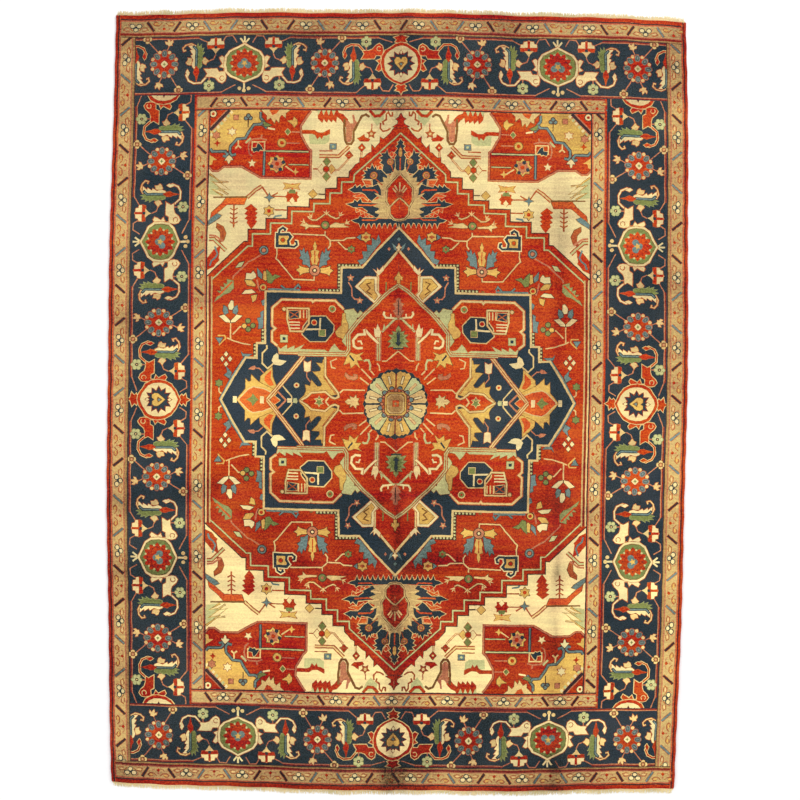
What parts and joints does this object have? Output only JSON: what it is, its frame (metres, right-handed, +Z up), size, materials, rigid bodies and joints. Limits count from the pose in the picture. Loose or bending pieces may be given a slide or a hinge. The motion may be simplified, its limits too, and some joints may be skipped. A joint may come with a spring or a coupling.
{
  "type": "area rug",
  "caption": "Hand-knotted wool room rug with a stepped star medallion on a red field, navy flower border between camel guard bands, overcast sides and short cut cotton fringe.",
  "frame": {"origin": "on the floor, under the middle of the rug", "axes": "+X across the rug, +Y along the warps and the long side, +Z up out of the pile"},
  "size_m": [2.7316, 3.7128, 0.0115],
  "materials": {
    "madder_wool": "hand-knotted wool pile, matt, with light sheen along the nap",
    "navy_wool": "hand-knotted wool pile, matt, with light sheen along the nap",
    "ivory_wool": "hand-knotted wool pile, matt, undyed ivory",
    "camel_wool": "hand-knotted wool pile, matt, camel ground",
    "overcast_wool": "plied wool yarn wrapped tightly round the edge cord",
    "cotton": "undyed cotton warp and weft, plain weave",
    "fringe_cotton": "undyed twisted cotton warp ends, slightly frayed"
  },
  "bodies": {
    "root": {"foundation": "cotton", "pile_outer_guard_top": "camel_wool", "pile_outer_guard_bottom": "camel_wool", "pile_outer_guard_left": "camel_wool", "pile_outer_guard_right": "camel_wool", "pile_main_border_top": "navy_wool", "pile_main_border_bottom": "navy_wool", "pile_main_border_left": "navy_wool", "pile_main_border_right": "navy_wool", "pile_inner_guard_top": "camel_wool", "pile_inner_guard_bottom": "camel_wool", "pile_inner_guard_left": "camel_wool", "pile_inner_guard_right": "camel_wool", "pile_ground": "madder_wool", "pile_medallion": "navy_wool", "pile_pendant_top": "navy_wool", "pile_ivory_top": "ivory_wool", "pile_corner_top_left": "madder_wool", "pile_corner_top_right": "madder_wool", "pile_pendant_bottom": "navy_wool", "pile_ivory_bottom": "ivory_wool", "pile_corner_bottom_left": "madder_wool", "pile_corner_bottom_right": "madder_wool", "selvedge_core_left": "cotton", "selvedge_overcast_left": "overcast_wool", "selvedge_core_right": "cotton", "selvedge_overcast_right": "overcast_wool", "kilim_web_top": "cotton", "fringe_top": "fringe_cotton", "kilim_web_bottom": "cotton", "fringe_bottom": "fringe_cotton"}
  },
  "joints": []
}
